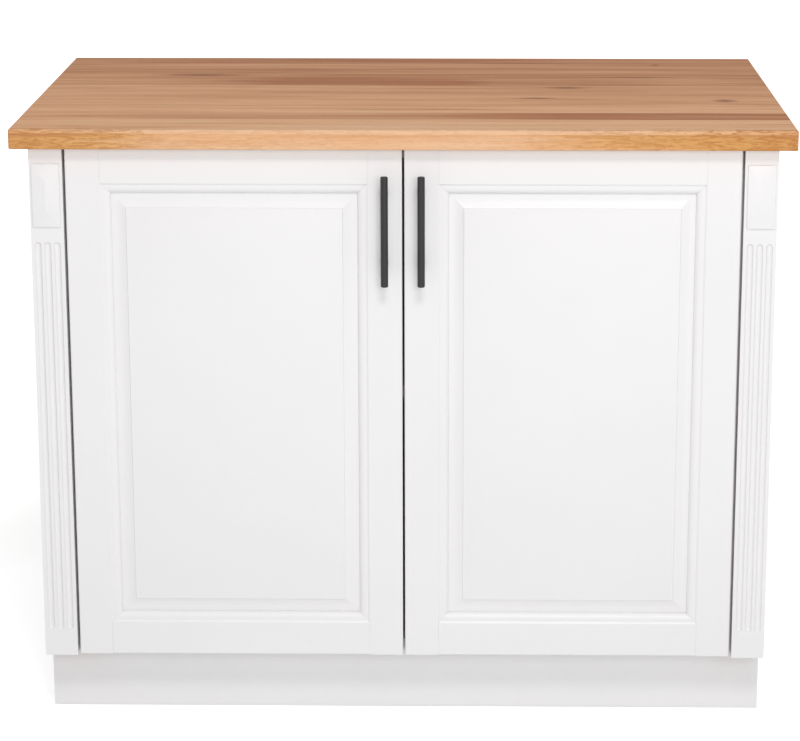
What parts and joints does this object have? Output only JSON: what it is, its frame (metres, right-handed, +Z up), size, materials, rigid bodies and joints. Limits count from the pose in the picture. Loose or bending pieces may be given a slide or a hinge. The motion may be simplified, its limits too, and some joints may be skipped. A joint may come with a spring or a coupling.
{
  "type": "kitchen base cabinet",
  "caption": "White kitchen base cabinet with raised-panel double doors, fluted pilasters, black bar handles, a recessed plinth on adjustable legs and an oak worktop.",
  "frame": {"origin": "on the floor, under the middle of the overall box from the front of the handles to the back of the worktop", "axes": "+X to the right as seen from the front, +Y from the doors to the back, +Z up"},
  "size_m": [1.044, 0.65, 0.847],
  "materials": {
    "white_paint": "satin",
    "white_board": "satin",
    "oak": "satin",
    "softwood": "matte",
    "zinc": "satin",
    "nickel": "polished",
    "black_coat": "satin",
    "black_plastic": "matte",
    "clear_rubber": "satin"
  },
  "bodies": {
    "carcass": {"worktop": "oak", "gable_left": "white_board", "gable_right": "white_board", "base_panel": "white_board", "front_rail": "white_board", "rear_rail": "white_board", "back_panel": "white_board", "shelf": "white_board", "front_fillers": "softwood", "rear_fillers": "softwood", "pilaster_dowels": "softwood", "end_panel_left": "white_paint", "end_panel_right": "white_paint", "pilaster_left": "white_paint", "pilaster_right": "white_paint", "pilaster_block_left": "white_paint", "pilaster_block_right": "white_paint", "plinth_front": "white_paint", "plinth_side_left": "white_paint", "plinth_side_right": "white_paint", "carcass_screws": "zinc", "filler_screws": "zinc", "worktop_screws": "zinc", "worktop_brackets": "zinc", "panel_screws": "zinc", "shelf_pins": "zinc", "hinge_plates": "nickel", "hinge_arms": "nickel", "hinge_arm_pins": "nickel", "hinge_adjusters": "nickel", "plinth_clips": "black_plastic", "leg_sockets": "black_plastic", "door_bumpers": "clear_rubber"},
    "foot_front_left": {"leg_foot_front_left": "black_plastic"},
    "foot_front_right": {"leg_foot_front_right": "black_plastic"},
    "foot_rear_left": {"leg_foot_rear_left": "black_plastic"},
    "foot_rear_right": {"leg_foot_rear_right": "black_plastic"},
    "door_left": {"door_left_hinge_stile": "white_paint", "door_left_meeting_stile": "white_paint", "door_left_top_rail": "white_paint", "door_left_bottom_rail": "white_paint", "door_left_panel": "white_paint", "door_left_handle": "black_coat", "door_left_handle_screws": "zinc", "door_left_hinge_cups": "nickel", "door_left_cup_screws": "zinc"},
    "outer_link_left": {"outer_links_left": "nickel"},
    "inner_link_left": {"inner_links_left": "nickel"},
    "door_right": {"door_right_hinge_stile": "white_paint", "door_right_meeting_stile": "white_paint", "door_right_top_rail": "white_paint", "door_right_bottom_rail": "white_paint", "door_right_panel": "white_paint", "door_right_handle": "black_coat", "door_right_handle_screws": "zinc", "door_right_hinge_cups": "nickel", "door_right_cup_screws": "zinc"},
    "outer_link_right": {"outer_links_right": "nickel"},
    "inner_link_right": {"inner_links_right": "nickel"}
  },
  "joints": [
    {"name": "door_left_swing", "type": "hinge", "parent": "outer_link_left", "child": "door_left", "pos_m": [-0.4418, -0.2765, 0.46], "axis": [0, 0, -1], "range_deg": [0, 129.77]},
    {"name": "outer_link_left_turn", "type": "hinge", "parent": "carcass", "child": "outer_link_left", "pos_m": [-0.4239, -0.255, 0.46], "axis": [0, 0, -1], "range_deg": [-34.8, 0]},
    {"name": "inner_link_left_turn", "type": "hinge", "parent": "carcass", "child": "inner_link_left", "pos_m": [-0.408, -0.2688, 0.46], "axis": [0, 0, -1], "range_deg": [-36.4, 0]},
    {"name": "door_right_swing", "type": "hinge", "parent": "outer_link_right", "child": "door_right", "pos_m": [0.4418, -0.2765, 0.46], "axis": [0, 0, 1], "range_deg": [0, 129.77]},
    {"name": "outer_link_right_turn", "type": "hinge", "parent": "carcass", "child": "outer_link_right", "pos_m": [0.4239, -0.255, 0.46], "axis": [0, 0, 1], "range_deg": [-34.8, 0]},
    {"name": "inner_link_right_turn", "type": "hinge", "parent": "carcass", "child": "inner_link_right", "pos_m": [0.408, -0.2688, 0.46], "axis": [0, 0, 1], "range_deg": [-36.4, 0]},
    {"name": "foot_front_left_turn", "type": "hinge", "parent": "carcass", "child": "foot_front_left", "pos_m": [-0.446, -0.177, 0.05], "axis": [0, 0, 1], "continuous": true},
    {"name": "foot_front_right_turn", "type": "hinge", "parent": "carcass", "child": "foot_front_right", "pos_m": [0.446, -0.177, 0.05], "axis": [0, 0, 1], "continuous": true},
    {"name": "foot_rear_left_turn", "type": "hinge", "parent": "carcass", "child": "foot_rear_left", "pos_m": [-0.446, 0.22, 0.05], "axis": [0, 0, 1], "continuous": true},
    {"name": "foot_rear_right_turn", "type": "hinge", "parent": "carcass", "child": "foot_rear_right", "pos_m": [0.446, 0.22, 0.05], "axis": [0, 0, 1], "continuous": true}
  ],
  "couplings": [
    {"joint": "outer_link_left_turn", "follows": "door_left_swing", "ratio": -0.26794},
    {"joint": "inner_link_left_turn", "follows": "door_left_swing", "ratio": -0.28038},
    {"joint": "outer_link_right_turn", "follows": "door_right_swing", "ratio": -0.26794},
    {"joint": "inner_link_right_turn", "follows": "door_right_swing", "ratio": -0.28038}
  ]
}
